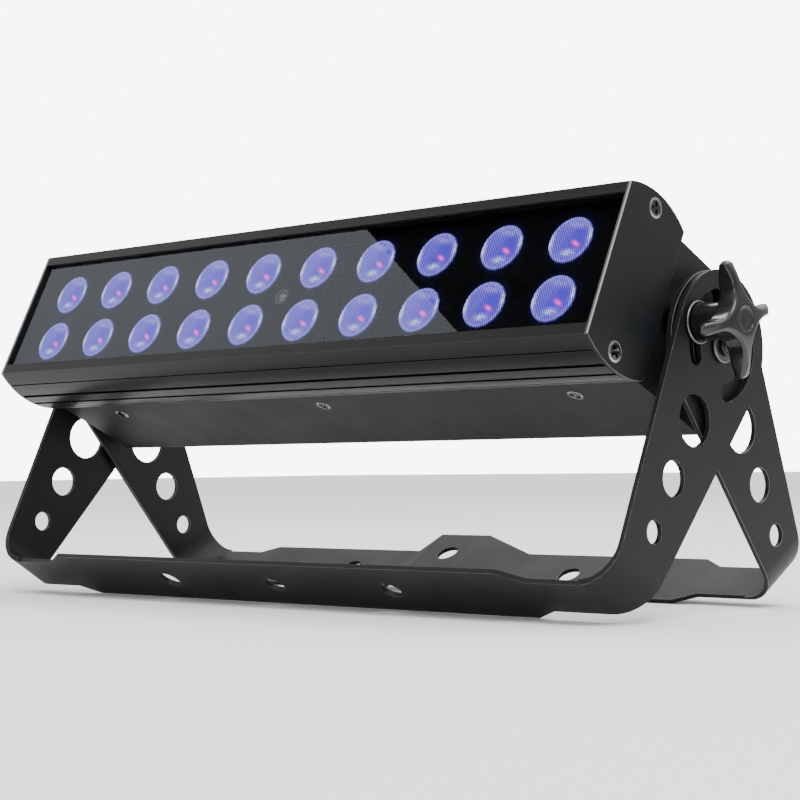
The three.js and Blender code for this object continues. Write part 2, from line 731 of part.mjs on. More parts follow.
// A pan-head screw with a cross recess in its head.
function pivotScrewBody() {
  const head = washerOuterX + gap;
  const body = turned([[0, shankEnd], [pivotScrewRadius, shankEnd], [pivotScrewRadius, head],
    [5.5, head], [5.5, head + 1.6], [4.2, head + 2.8], [0, head + 3.2]], 16);
  const recess = (halfY, halfZ) => block(head + 1.4, head + 4, -halfY, halfY, -halfZ, halfZ);
  return cut(body, recess(2.6, 0.5), recess(0.5, 2.6));
}

const knob = {
  hubRadius: 9, hubInner: washerOuterX + gap, armInner: 245.8, end: 256.8, discRadius: 6,
  tipReach: 28.1, tipRadius: 3.5, waist: 10.6, turn: 39.5 * degrees,
  dome: { reach: 26, drop: 3.2 },
};

// Four arms with round tips, joined by arcs that touch both neighbouring tips.
function starOutline({ tipReach, tipRadius, waist, turn }) {
  const tip = tipReach - tipRadius;
  const diagonal = Math.SQRT1_2 * tip;
  const hollow = (tip ** 2 + waist ** 2 - 2 * diagonal * waist - tipRadius ** 2)
    / (2 * (diagonal + tipRadius - waist));
  const centre = waist + hollow;
  const lean = Math.atan2(centre * Math.SQRT1_2, centre * Math.SQRT1_2 - tip);
  const shape = new THREE.Shape();
  for (let arm = 0; arm < 4; arm += 1) {
    const along = turn + (arm * Math.PI) / 2;
    const between = along + Math.PI / 4;
    const facing = along + lean;
    shape.absarc(tip * Math.cos(along), tip * Math.sin(along), tipRadius,
      along - lean, facing, false);
    shape.absarc(centre * Math.cos(between), centre * Math.sin(between), hollow,
      facing + Math.PI, along + Math.PI / 2 - lean - Math.PI, true);
  }
  return shape;
}

// The arms fall away from the middle of the face, so they are thinnest at their tips.
function knobDome() {
  const { reach, drop } = knob.dome;
  const crown = [knob.discRadius, 12, 18, 24, 30].map((radius) =>
    [radius, knob.end - drop * (radius / reach) ** 2]);
  return turned([[0, knob.armInner - 1], [30, knob.armInner - 1], ...crown.reverse(),
    [0, knob.end]], 24);
}

function knobBody() {
  const hub = prism(disc(0, 0, knob.hubRadius), 'X', knob.hubInner, knob.armInner + 1, 12);
  const arms = prism(starOutline(knob), 'X', knob.armInner, knob.end, 6).intersect(knobDome());
  const bore = prism(disc(0, 0, clampStudRadius + gap), 'X', knob.hubInner - 1,
    knob.armInner - 1, 10);
  const face = prism(disc(0, 0, knob.discRadius), 'X', knob.end - 0.8, knob.end + 1, 12);
  return cut(join(hub, arms), bore, face);
}

const clampAxis = [0, -clampForward, -middleAbovePivot];
const pivotAxis = [0, 0, -middleAbovePivot];
const sidePieces = [
  ['pivot_spacer', pivotBush, blackSteel, pivotAxis],
  ['pivot_washer', ring(pivotScrewRadius + gap, pivotWasherRadius, washerInnerX, washerOuterX),
    blackSteel, pivotAxis],
  ['pivot_screw', pivotScrewBody(), blackSteel, pivotAxis],
  ['clamp_spacer', ring(clampStudRadius + gap, spacerRadius, boxHalfX + gap, rearInnerX - gap),
    blackSteel, clampAxis],
  ['knob_washer', ring(clampStudRadius + gap, knobWasherRadius, washerInnerX, washerOuterX),
    blackSteel, clampAxis],
  ['clamp_stud', turned([[0, shankEnd], [clampStudRadius, shankEnd],
    [clampStudRadius, knob.armInner - 1 - gap], [0, knob.armInner - 1 - gap]], 16),
  nickel, clampAxis],
  ['clamp_knob', knobBody(), blackPlastic, clampAxis],
];
for (const [name, body, material, axis] of sidePieces) {
  place(housing, `${name}_right`, body, material, ...axis);
  place(housing, `${name}_left`, body, material, ...axis).rotation.y = Math.PI;
}

export default lamp;
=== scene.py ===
"""The looks of the LED batten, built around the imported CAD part. Lengths in tables are mm."""
import json
import math

import bmesh
import bpy
from mathutils import Matrix, Vector


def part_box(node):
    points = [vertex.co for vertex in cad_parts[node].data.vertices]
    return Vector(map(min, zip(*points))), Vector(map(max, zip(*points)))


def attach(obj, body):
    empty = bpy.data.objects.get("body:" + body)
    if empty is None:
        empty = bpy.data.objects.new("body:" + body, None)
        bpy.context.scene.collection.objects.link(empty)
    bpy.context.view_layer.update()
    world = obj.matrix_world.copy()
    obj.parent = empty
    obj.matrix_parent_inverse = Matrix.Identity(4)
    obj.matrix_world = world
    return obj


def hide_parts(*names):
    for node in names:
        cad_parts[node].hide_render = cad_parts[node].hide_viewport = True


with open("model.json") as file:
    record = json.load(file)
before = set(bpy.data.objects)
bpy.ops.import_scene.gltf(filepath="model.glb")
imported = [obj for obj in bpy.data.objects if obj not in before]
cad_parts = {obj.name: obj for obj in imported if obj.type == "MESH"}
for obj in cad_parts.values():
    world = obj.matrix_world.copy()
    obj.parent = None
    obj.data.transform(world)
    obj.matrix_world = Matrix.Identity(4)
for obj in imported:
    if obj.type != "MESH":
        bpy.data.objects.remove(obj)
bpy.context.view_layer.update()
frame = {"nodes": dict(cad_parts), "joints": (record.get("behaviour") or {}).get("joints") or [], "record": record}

MM = 0.001
record = frame["record"]
joints = {j["name"]: j for j in frame["joints"]}
body_of = {n: b for b, ns in record["behaviour"]["bodies"].items() for n in ns}

# ---- camera: it stands low, to the lamp's right ----------------------------------------------

CAMERA_AT = (0.7399, -0.7759, 0.0743)
AZIMUTH, ELEVATION, ROLL = math.radians(42.67), math.radians(-1.90), math.radians(-0.72)


def make_camera():
    back = Vector((math.sin(AZIMUTH) * math.cos(ELEVATION),
                   -math.cos(AZIMUTH) * math.cos(ELEVATION), math.sin(ELEVATION)))
    right = (-back).cross(Vector((0, 0, 1))).normalized()
    up = right.cross(-back).normalized()
    c, s = math.cos(ROLL), math.sin(ROLL)
    turned_right, turned_up = c * right + s * up, -s * right + c * up
    turn = Matrix((turned_right, turned_up, back)).transposed()
    data = bpy.data.cameras.new("camera")
    data.sensor_width = 36
    data.lens = 86.55
    data.clip_start = 0.01
    camera = bpy.data.objects.new("camera", data)
    camera.matrix_world = Matrix.Translation(CAMERA_AT) @ turn.to_4x4()
    bpy.context.scene.collection.objects.link(camera)
    bpy.context.scene.camera = camera


make_camera()

# ---- frames: the world's and the housing's, which looks along its own -Y ---------------------

WORLD = Matrix.Identity(4)
TILT = math.radians(26.3)
MIDDLE_ABOVE_PIVOT = 1.0
pivot = Vector(joints["housing_tilt"]["pos_m"])
HOUSING = (Matrix.Translation(pivot) @ Matrix.Rotation(-TILT, 4, "X")
           @ Matrix.Translation((0, 0, MIDDLE_ABOVE_PIVOT * MM)))
FORWARD = (HOUSING.to_3x3() @ Vector((0, -1, 0))).normalized()

# ---- sizes of the CAD part that several pieces and materials share ---------------------------

SIDES = (("right", 1), ("left", -1))
ROWS = (("upper", 1), ("lower", -1))
PLATE_INNER, PLATE_OUTER = 218.5, 220.5
GLASS_FRONT = 82.9
GROOVES = ((76.2, 0.8), (65.5, 2.2), (56.2, 2.2), (46.5, 0.8))  # forward, width
WALL_HEIGHT = 30
LENS_COLUMNS, LENS_PITCH, LENS_ROW, LENS_DROP = 10, 42, 15.85, 1.0
LENS_RADIUS = 12.68


# ---- node helpers ----------------------------------------------------------------------------

class Graph:
    """A material's node tree, with short calls for the nodes that the materials share."""

    def __init__(self, name, base, roughness, metallic=0.0, **more):
        self.material = bpy.data.materials.new(name)
        self.material.use_nodes = True
        self.tree = self.material.node_tree
        self.shader = self.tree.nodes["Principled BSDF"]
        self.output = self.tree.nodes["Material Output"]
        self.set("Base Color", (*base, 1))
        self.set("Roughness", roughness)
        self.set("Metallic", metallic)
        for key, value in more.items():
            self.set(key.replace("_", " "), value)
        self.coord = self.tree.nodes.new("ShaderNodeTexCoord").outputs["Object"]

    def set(self, socket, value):
        self.shader.inputs[socket].default_value = value

    def link(self, a, b):
        self.tree.links.new(a, b)

    def node(self, kind, **settings):
        made = self.tree.nodes.new("ShaderNode" + kind)
        for key, value in settings.items():
            setattr(made, key, value)
        return made

    def feed(self, socket, value):
        if isinstance(value, (int, float, tuple)):
            socket.default_value = value
        else:
            self.link(value, socket)

    def math(self, operation, a, b=0.0, c=0.0, clamp=False):
        made = self.node("Math", operation=operation, use_clamp=clamp)
        for socket, value in zip(made.inputs, (a, b, c)):
            self.feed(socket, value)
        return made.outputs[0]

    def scaled(self, x, y, z):
        made = self.node("Mapping")
        made.inputs["Scale"].default_value = (x, y, z)
        self.link(self.coord, made.inputs["Vector"])
        return made.outputs[0]

    def noise(self, scale, detail=3.0, roughness=0.5, vector=None):
        made = self.node("TexNoise")
        self.link(vector or self.coord, made.inputs["Vector"])
        made.inputs["Scale"].default_value = scale
        made.inputs["Detail"].default_value = detail
        made.inputs["Roughness"].default_value = roughness
        return made.outputs[0]

    def ramp(self, value, low, high, to_low=0.0, to_high=1.0, smooth=False):
        made = self.node("MapRange", interpolation_type="SMOOTHSTEP" if smooth else "LINEAR")
        self.link(value, made.inputs["Value"])
        for name, number in zip(("From Min", "From Max", "To Min", "To Max"),
                                (low, high, to_low, to_high)):
            made.inputs[name].default_value = number
        return made.outputs[0]

    def mix(self, factor, a, b):
        made = self.node("Mix", data_type="RGBA")
        self.feed(made.inputs[0], factor)
        for socket, value in ((made.inputs[6], a), (made.inputs[7], b)):
            self.feed(socket, (*value, 1) if isinstance(value, tuple) and len(value) == 3
                      else value)
        return made.outputs[2]

    def bump(self, height, strength, distance):
        made = self.node("Bump")
        made.inputs["Strength"].default_value = strength
        made.inputs["Distance"].default_value = distance
        self.link(height, made.inputs["Height"])
        self.link(made.outputs[0], self.shader.inputs["Normal"])

    def drive(self, socket, value):
        self.link(value, self.shader.inputs[socket])

    def xyz(self):
        made = self.node("SeparateXYZ")
        self.link(self.coord, made.inputs[0])
        return made.outputs


# ---- materials -------------------------------------------------------------------------------

# The light of a lens: its deep and pale ribs, clear blue part, frosted rim, painted glints and a painted image of
# the die.
DEEP, PALE, BLUE = (0.022, 0.0, 0.26), (0.36, 0.22, 1.75), (0.085, 0.008, 1.05)
FROST, PAINTED_GLINT, PAINTED_DIE_IMAGE = (0.85, 0.78, 1.8), (1.9, 2.0, 2.5), (1.9, 0.10, 1.2)
RIB_PITCH = 1.1


def powder_coat(name, dark, light, roughness, grain=0.35, shine=0.24):
    """Baked powder: an orange-peel skin, faint mottling and a little dust."""
    g = Graph(name, dark, roughness, Specular_IOR_Level=shine)
    peel = g.noise(900, 2, 0.5)
    mottle = g.noise(28, 4, 0.6)
    g.drive("Base Color", g.mix(g.ramp(mottle, 0.35, 0.7), dark, light))
    g.drive("Roughness", g.ramp(mottle, 0.3, 0.75, roughness - 0.05, roughness + 0.07))
    g.bump(peel, grain, 0.00012)
    return g.material


def painted_highlight_edge(name, colour, roughness):
    """The rounded rim of a coated sheet, painted much lighter and smoother than its face as a painted highlight,
    in random patches.
    """
    g = Graph(name, colour, roughness, Specular_IOR_Level=0.8)
    patch = g.noise(160, 3, 0.6)
    g.drive("Base Color", g.mix(g.ramp(patch, 0.35, 0.7), tuple(0.55 * c for c in colour), colour))
    g.drive("Roughness", g.ramp(patch, 0.3, 0.7, roughness + 0.1, roughness - 0.05))
    g.bump(g.noise(1100, 2, 0.5), 0.2, 0.00008)
    return g.material


def cut_face(name):
    """The plates' narrow front faces: coated, with a painted highlight along the outer corner."""
    g = Graph(name, (0.03, 0.031, 0.033), 0.4, Specular_IOR_Level=0.5)
    x = g.xyz()[0]
    # Painted highlight: the outer part of the face turns light grey.
    corner_highlight = g.ramp(g.math("ABSOLUTE", x), (PLATE_INNER + 0.8) * MM, (PLATE_OUTER - 0.7) * MM)
    g.drive("Base Color", g.mix(corner_highlight, (0.035, 0.036, 0.039), (0.30, 0.305, 0.315)))
    return g.material


def anodised(name):
    """Black anodised extrusion: fine die lines along its length."""
    g = Graph(name, (0.004, 0.004, 0.004), 0.34, 0.15, Specular_IOR_Level=0.28)
    lines = g.noise(60, 3, 0.6, g.scaled(0.05, 18, 18))
    cloud = g.noise(14, 3, 0.5)
    g.drive("Base Color", g.mix(g.ramp(cloud, 0.3, 0.7), (0.0032, 0.0032, 0.0034),
                                (0.0058, 0.0057, 0.0056)))
    g.drive("Roughness", g.ramp(lines, 0.3, 0.7, 0.29, 0.42))
    g.bump(lines, 0.12, 0.00008)
    return g.material


def smooth_plastic(name, colour, roughness, coat=0.0, grain=0.08, shine=0.5):
    g = Graph(name, colour, roughness, Coat_Weight=coat, Coat_Roughness=0.08,
              Specular_IOR_Level=shine)
    cloud = g.noise(90, 3, 0.6)
    g.drive("Roughness", g.ramp(cloud, 0.3, 0.7, roughness - 0.04, roughness + 0.06))
    g.drive("Base Color", g.mix(g.ramp(cloud, 0.3, 0.75), colour,
                                tuple(1.35 * c for c in colour)))
    g.bump(g.noise(1400, 2, 0.5), grain, 0.00006)
    return g.material


def plated(name, colour, roughness, dark=0.5):
    """Plated steel: bright, with faint turning lines and stains."""
    g = Graph(name, colour, roughness, 1.0)
    stain = g.noise(320, 4, 0.6)
    g.drive("Base Color", g.mix(g.ramp(stain, 0.35, 0.75), tuple(dark * c for c in colour),
                                colour))
    g.drive("Roughness", g.ramp(stain, 0.3, 0.7, roughness - 0.05, roughness + 0.12))
    g.bump(g.noise(2600, 2, 0.5), 0.12, 0.00004)
    return g.material


def window_glass():
    """Clear glass: its front face carries the reflections of both, over what is behind it."""
    g = Graph("glass_pane", (1, 1, 1), 0.0)
    g.tree.nodes.remove(g.shader)
    clear = g.node("BsdfTransparent")
    clear.inputs["Color"].default_value = (0.90, 0.915, 0.93, 1)
    gloss = g.node("BsdfGlossy")
    gloss.inputs["Roughness"].default_value = 0.015
    gloss.inputs["Color"].default_value = (0.84, 0.90, 1.0, 1)
    fresnel = g.node("Fresnel")
    fresnel.inputs["IOR"].default_value = 1.62
    outside = g.math("SUBTRACT", 1.0, g.node("NewGeometry").outputs["Backfacing"])
    shine = g.math("MULTIPLY", fresnel.outputs[0], 0.82)
    both = g.node("MixShader")
    g.link(g.math("MULTIPLY", shine, outside), both.inputs[0])
    g.link(clear.outputs[0], both.inputs[1])
    g.link(gloss.outputs[0], both.inputs[2])
    g.link(both.outputs[0], g.output.inputs["Surface"])
    return g.material


def lens_glow():
    """A lit lens: violet, finely ribbed, with a speckled rim, painted glints and the painted pink image of the
    die.
    """
    g = Graph("lens_lit", (0.02, 0.02, 0.10), 0.25, Specular_IOR_Level=0.3)
    x, _, z = g.xyz()
    radius = g.math("SQRT", g.math("ADD", g.math("MULTIPLY", x, x), g.math("MULTIPLY", z, z)))

    def wave(degrees, pitch):
        a = math.radians(degrees)
        rate = 2 * math.pi / (pitch * MM)
        return g.math("COSINE", g.math("ADD", g.math("MULTIPLY", x, math.cos(a) * rate),
                                       g.math("MULTIPLY", z, math.sin(a) * rate)))

    def spot(sx, sz, wide, high, lean=0.0):
        """A soft oval about (sx, sz) mm, with its long side turned by `lean` degrees."""
        c, s = math.cos(math.radians(lean)), math.sin(math.radians(lean))
        dx = g.math("SUBTRACT", x, sx * MM)
        dz = g.math("SUBTRACT", z, sz * MM)
        along = g.math("ADD", g.math("MULTIPLY", dx, c / (wide * MM)),
                       g.math("MULTIPLY", dz, s / (wide * MM)))
        across = g.math("ADD", g.math("MULTIPLY", dx, -s / (high * MM)),
                        g.math("MULTIPLY", dz, c / (high * MM)))
        squared = g.math("ADD", g.math("MULTIPLY", along, along),
                         g.math("MULTIPLY", across, across))
        return g.math("POWER", math.e, g.math("MULTIPLY", squared, -1.0))

    ribs = g.ramp(wave(8, RIB_PITCH), -0.8, 0.8)
    cross = g.ramp(wave(68, RIB_PITCH), -1.0, 1.0)
    comb = g.math("MULTIPLY", ribs, g.math("MULTIPLY_ADD", cross, 0.35, 0.65))
    grain = g.ramp(g.noise(1300, 2, 0.6), 0.44, 0.60)
    speckle = g.math("MULTIPLY", comb, g.math("MULTIPLY_ADD", grain, 0.9, 0.3), clamp=True)

    clear = g.math("ADD", spot(3.4, -5.0, 6.2, 5.4), spot(5.2, 2.5, 3.6, 3.6), clamp=True)
    veil = g.math("MULTIPLY", comb, g.math("SUBTRACT", 1.0, g.math("MULTIPLY", clear, 0.8)))
    body = g.mix(veil, DEEP, PALE)
    body = g.mix(g.math("MULTIPLY", clear, 0.7), body, BLUE)
    rim = g.math("MULTIPLY", g.ramp(radius, 9.4 * MM, 12.0 * MM, smooth=True), speckle)
    body = g.mix(g.math("MULTIPLY", rim, 0.9), body, FROST)
    arc = g.math("MULTIPLY", spot(1.5, 8.0, 7.0, 1.5, -12), speckle)
    body = g.mix(g.math("MULTIPLY", arc, 1.1, clamp=True), body, FROST)
    # Painted glints on the left and right rims and below the middle.
    side = g.math("MULTIPLY", spot(-11.4, -1.5, 1.2, 5.2), speckle)
    body = g.mix(g.math("MULTIPLY", side, 1.9, clamp=True), body, PAINTED_GLINT)
    far = g.math("MULTIPLY", spot(11.3, 2.6, 1.0, 5.0), speckle)
    body = g.mix(g.math("MULTIPLY", far, 1.3, clamp=True), body, PAINTED_GLINT)
    flecks = g.ramp(g.noise(2300, 1, 0.5), 0.46, 0.60)
    broken = g.math("MULTIPLY", flecks, g.math("MULTIPLY_ADD", comb, 0.8, 0.2))
    low = g.math("MULTIPLY", spot(0.9, -7.2, 3.8, 1.7), g.math("MULTIPLY_ADD", broken, 1.3, 0.06))
    body = g.mix(g.math("MULTIPLY", low, 0.95, clamp=True), body, PAINTED_GLINT)
    # The pink image of the die, painted where one view sees it through the lens.
    body = g.mix(g.math("MULTIPLY", spot(4.0, -2.6, 2.3, 1.0, -32), 1.2, clamp=True), body, PAINTED_DIE_IMAGE)
    edge = g.ramp(radius, (LENS_RADIUS - 0.78) * MM, (LENS_RADIUS - 0.18) * MM, 1.0, 0.12,
                  smooth=True)
    g.drive("Emission Color", body)
    g.drive("Emission Strength", edge)
    g.bump(comb, 0.5, 0.0002)
    return g.material


def lens_side():
    """The lens's rim and cone, dimly lit from inside."""
    g = Graph("lens_flank", (0.06, 0.06, 0.3), 0.15)
    glow = g.noise(500, 2, 0.5)
    g.drive("Emission Color", g.mix(glow, (0.02, 0.02, 0.30), (0.10, 0.10, 0.75)))
    g.set("Emission Strength", 0.6)
    return g.material


def holder_black():
    """The plate round the lenses, with a painted blue glow of the lenses' light beside each, and the receiver's
    grey rim.
    """
    black, grey = (0.0006, 0.0006, 0.0012), (0.05, 0.052, 0.056)
    g = Graph("holder_black", black, 0.6, Specular_IOR_Level=0.04)
    x, _, z = g.xyz()

    def distance(a, b):
        return g.math("SQRT", g.math("ADD", g.math("MULTIPLY", a, a), g.math("MULTIPLY", b, b)))

    height = g.math("ADD", z, LENS_DROP * MM)
    column = g.math("SUBTRACT", g.math("FLOORED_MODULO", x, LENS_PITCH * MM),
                    LENS_PITCH / 2 * MM)
    row = g.math("SUBTRACT", g.math("ABSOLUTE", height), LENS_ROW * MM)
    painted_spill = g.ramp(distance(column, row), 12.6 * MM, 18.5 * MM, 1.0, 0.0, smooth=True)
    painted_spill = g.math("MULTIPLY", painted_spill, painted_spill)
    uneven = g.math("MULTIPLY", painted_spill, g.ramp(g.noise(60, 2, 0.5), 0.3, 0.7, 0.6, 1.1))
    # The black plate glows blue round each lens: painted light.
    g.set("Emission Color", (0.02, 0.02, 0.36, 1))
    g.drive("Emission Strength", g.math("MULTIPLY", uneven, 0.06))
    bezel = g.ramp(distance(x, height), 4.5 * MM, 4.8 * MM, 1.0, 0.0)
    g.drive("Base Color", g.mix(bezel, black, grey))
    g.bump(g.noise(1200, 2, 0.5), 0.1, 0.00005)
    return g.material


COAT = powder_coat("bracket_coat", (0.0050, 0.0058, 0.0068), (0.0070, 0.0079, 0.0092), 0.46)
# Each *_EDGE material below is a lighter copy of its part's coat for the rounded edges: a painted highlight,
# dimmer on the rear bracket and the extrusion.
COAT_EDGE = painted_highlight_edge("bracket_edge", (0.62, 0.63, 0.65), 0.32)
COAT_EDGE_DULL = painted_highlight_edge("rear_bracket_edge", (0.13, 0.135, 0.14), 0.36)
PLATE = powder_coat("plate_coat", (0.0050, 0.0060, 0.0074), (0.0068, 0.0080, 0.0098), 0.42, 0.25)
PLATE_EDGE = painted_highlight_edge("plate_edge", (0.21, 0.215, 0.22), 0.32)
PLATE_FRONT = cut_face("plate_front")
COVER = powder_coat("cover_coat", (0.007, 0.0072, 0.0074), (0.0105, 0.0107, 0.011), 0.5, 0.45)
COVER_EDGE = painted_highlight_edge("cover_edge", (0.05, 0.05, 0.052), 0.40)
ANODISED = anodised("anodised_black")
ANODISED_EDGE = painted_highlight_edge("anodised_edge", (0.10, 0.10, 0.10), 0.34)
GROOVE = smooth_plastic("groove_black", (0.0008, 0.0008, 0.0009), 0.8, shine=0.05)
RUBBER = smooth_plastic("gasket_black", (0.0015, 0.0015, 0.0018), 0.9, shine=0.05)
SOCKET = smooth_plastic("socket_black", (0.012, 0.012, 0.013), 0.42, grain=0.2)
ROCKER = smooth_plastic("rocker_black", (0.014, 0.014, 0.015), 0.25)
KNOB = smooth_plastic("knob_black", (0.0035, 0.0038, 0.0045), 0.2, coat=0.3, grain=0.03)
RECEIVER = smooth_plastic("receiver_grey", (0.075, 0.077, 0.085), 0.2)
BOARD_WHITE = smooth_plastic("board_white", (0.55, 0.55, 0.53), 0.5)
BOARD_GREEN = smooth_plastic("board_green", (0.012, 0.09, 0.03), 0.45)
NICKEL = plated("nickel", (0.12, 0.118, 0.115), 0.2)
# RIM and DARK_RIM are lighter copies of their metals for rims and rounded edges: painted highlights.
RIM = plated("nickel_rim", (0.42, 0.41, 0.40), 0.2, 0.8)
DARK_STEEL = plated("black_zinc", (0.035, 0.035, 0.037), 0.36, 0.7)
DARK_RIM = plated("black_zinc_edge", (0.24, 0.24, 0.23), 0.34)
WASHER = plated("washer_grey", (0.11, 0.11, 0.105), 0.42, 0.75)
ZINC = plated("zinc", (0.5, 0.5, 0.49), 0.3)
GLASS = window_glass()
LENS_FACE = lens_glow()
LENS_SIDE = lens_side()
HOLDER = holder_black()

# ---- piece helpers ---------------------------------------------------------------------------

SHARP = math.radians(35)


def finish_piece(obj, node, smooth=True):
    """Shades a piece, and hands it to the CAD node's body in its place."""
    if smooth:
        obj.data.shade_smooth()
        obj.data.set_sharp_from_angle(angle=SHARP)
        weighted = obj.modifiers.new("weighted", "WEIGHTED_NORMAL")
        weighted.keep_sharp = True
    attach(obj, body_of[node])
    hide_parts(node)
    return obj


def link(name, mesh, matrix=WORLD):
    obj = bpy.data.objects.new(name, mesh)
    bpy.context.scene.collection.objects.link(obj)
    obj.matrix_world = matrix
    return obj


def rounded(node, width, materials, matrix=WORLD, angle=SHARP, segments=2, paint=None):
    """A CAD node again with its sharp edges rounded to `width` mm, in the frame `matrix`.

    The rounded edges take the second material, a lighter copy of the first that serves as a painted highlight.
    `paint` gives a face's material, if it's set.
    """
    bm = bmesh.new()
    bm.from_mesh(frame["nodes"][node].data)
    bmesh.ops.transform(bm, matrix=matrix.inverted(), verts=bm.verts)
    bmesh.ops.remove_doubles(bm, verts=bm.verts, dist=2e-6)
    bmesh.ops.dissolve_limit(bm, angle_limit=math.radians(0.4), verts=bm.verts, edges=bm.edges)
    for face in bm.faces:
        face.material_index = paint(face) if paint else 0
    if width:
        edges = [e for e in bm.edges if len(e.link_faces) == 2 and e.calc_face_angle() > angle]
        bmesh.ops.bevel(bm, geom=edges, offset=width * MM, offset_type="OFFSET",
                        segments=segments, profile=0.5, affect="EDGES", clamp_overlap=True,
                        material=1 if len(materials) > 1 else -1)
    bmesh.ops.triangulate(bm, faces=[f for f in bm.faces if len(f.verts) > 4])
    mesh = bpy.data.meshes.new("fine_" + node)
    bm.to_mesh(mesh)
    bm.free()
    for material in materials:
        mesh.materials.append(material)
    return finish_piece(link("fine_" + node, mesh, matrix), node)


def turned_mesh(name, profile, segments, axis, materials, slots=None):
    """A mesh turned from [radius, distance] pairs. The distance runs along +X or -Y (forward)."""
    bm = bmesh.new()
    rings = []
    for radius, distance in profile:
        ring = []
        count = 1 if radius == 0 else segments
        for i in range(count):
            a = 2 * math.pi * i / segments
            u, v, w = radius * math.cos(a), radius * math.sin(a), distance
            ring.append(bm.verts.new(Vector((w, u, v) if axis == "X" else (u, -w, v)) * MM))
        rings.append(ring)
    for k, (low, high) in enumerate(zip(rings, rings[1:])):
        for i in range(segments):
            j = (i + 1) % segments
            corners = [low[i % len(low)], low[j % len(low)], high[j % len(high)],
                       high[i % len(high)]]
            corners = [v for n, v in enumerate(corners) if v not in corners[:n]]
            face = bm.faces.new(corners)
            face.material_index = slots[k] if slots else 0
    bmesh.ops.recalc_face_normals(bm, faces=bm.faces)
    mesh = bpy.data.meshes.new(name)
    bm.to_mesh(mesh)
    bm.free()
    for material in materials:
        mesh.materials.append(material)
    return mesh


# ---- brackets, housing and plain parts -------------------------------------------------------

def front_face(face):
    """The third material for a plate's narrow face towards the front, with a painted highlight along its outer
    corner.
    """
    return 2 if face.normal.dot(FORWARD) > 0.95 else 0


def groove_face(face):
    """The third material for the faces in the grooves of the extrusion's curved walls."""
    at = HOUSING.inverted() @ face.calc_center_median() / MM
    inside = any(abs(-at.y - forward) < width / 2 + 0.02 for forward, width in GROOVES)
    return 2 if inside and abs(at.z) > WALL_HEIGHT else 0


rounded("front_bracket", 0.45, [COAT, COAT_EDGE])
rounded("rear_bracket", 0.45, [COAT, COAT_EDGE_DULL])
rounded("housing_extrusion", 0.2, [ANODISED, ANODISED_EDGE, GROOVE], angle=math.radians(40),
        paint=groove_face)
for hand, _ in SIDES:
    rounded("end_plate_" + hand, 0.3, [PLATE, PLATE_EDGE, PLATE_FRONT], paint=front_face)
    rounded("pivot_washer_" + hand, 0.6, [WASHER, DARK_RIM])
    rounded("knob_washer_" + hand, 0.6, [DARK_STEEL, DARK_RIM])
    rounded("pivot_spacer_" + hand, 0.25, [DARK_STEEL, DARK_RIM])
    rounded("clamp_spacer_" + hand, 0.25, [DARK_STEEL, DARK_RIM])
    rounded("clamp_stud_" + hand, 0.3, [ZINC])
    rounded("pivot_screw_" + hand, 0.12, [DARK_STEEL, DARK_RIM])
for node, width, materials in (
        ("rear_housing", 0.3, [COVER, COVER_EDGE]), ("glass_window", 0.25, [GLASS]),
        ("window_gasket", 0.2, [RUBBER]), ("lens_holder", 0, [HOLDER]),
        ("led_board", 0, [BOARD_WHITE]), ("driver_board", 0.3, [BOARD_GREEN]),
        ("ir_receiver", 0, [RECEIVER]), ("power_outlet", 0.25, [SOCKET]),
        ("switch_bezel", 0.25, [SOCKET]), ("switch_rocker", 0.4, [ROCKER]),
        ("power_inlet", 0.15, [SOCKET])):
    rounded(node, width, materials, HOUSING)


# ---- screws ----------------------------------------------------------------------------------

def countersunk_mesh(name, head, shank, length, dome=0.55):
    """A countersunk screw with a domed face, its cross recess cut by a tapered cross."""
    depth = head - shank
    crown = [(head * r, dome * (1 - r * r) + 0.03) for r in (0.97, 0.82, 0.65, 0.4, 0.2)]
    profile = [(0, -length), (shank * 0.7, -length), (shank, -length + 1), (shank, -depth),
               (head - 0.1, -0.12), (head, 0.0), *crown, (0, dome + 0.03)]
    # The outer ring of the head takes the lighter nickel: a painted highlight.
    slots = [1 if k in (5, 6) else 0 for k in range(len(profile) - 1)]
    blank = bpy.data.objects.new(name, turned_mesh(name, profile, 48, "X", [NICKEL, RIM], slots))
    bm = bmesh.new()
    reach, narrow, deep = head * 0.66, head * 0.17, head * 0.55
    for turn in (0, math.pi / 2):
        corners = []
        for x, shrink in ((dome + 1, 1.25), (-deep, 0.35)):
            for y, z in ((-1, -1), (1, -1), (1, 1), (-1, 1)):
                corners.append(Vector((x, y * reach * shrink, z * narrow * (0.6 + shrink / 2))))
        verts = [bm.verts.new(Matrix.Rotation(turn, 3, "X") @ c * MM) for c in corners]
        for quad in ((0, 1, 2, 3), (7, 6, 5, 4), (0, 4, 5, 1), (1, 5, 6, 2), (2, 6, 7, 3),
                     (3, 7, 4, 0)):
            bm.faces.new([verts[i] for i in quad])
    bmesh.ops.recalc_face_normals(bm, faces=bm.faces)
    tool_mesh = bpy.data.meshes.new("cross")
    bm.to_mesh(tool_mesh)
    bm.free()
    tool = bpy.data.objects.new("cross", tool_mesh)
    scene = bpy.context.scene.collection
    scene.objects.link(blank)
    scene.objects.link(tool)
    cut = blank.modifiers.new("cross", "BOOLEAN")
    cut.object = tool
    cut.solver = "EXACT"
    cut.use_self = True
    bpy.context.view_layer.update()
    made = bpy.data.meshes.new_from_object(
        blank.evaluated_get(bpy.context.evaluated_depsgraph_get()))
    for obj in (blank, tool):
        bpy.data.objects.remove(obj)
    made.name = name
    return made


PLATE_SCREW = countersunk_mesh("plate_screw", 4.8, 2.5, 14)
COVER_SCREW = countersunk_mesh("cover_screw", 4.1, 2.0, 7, 0.5)

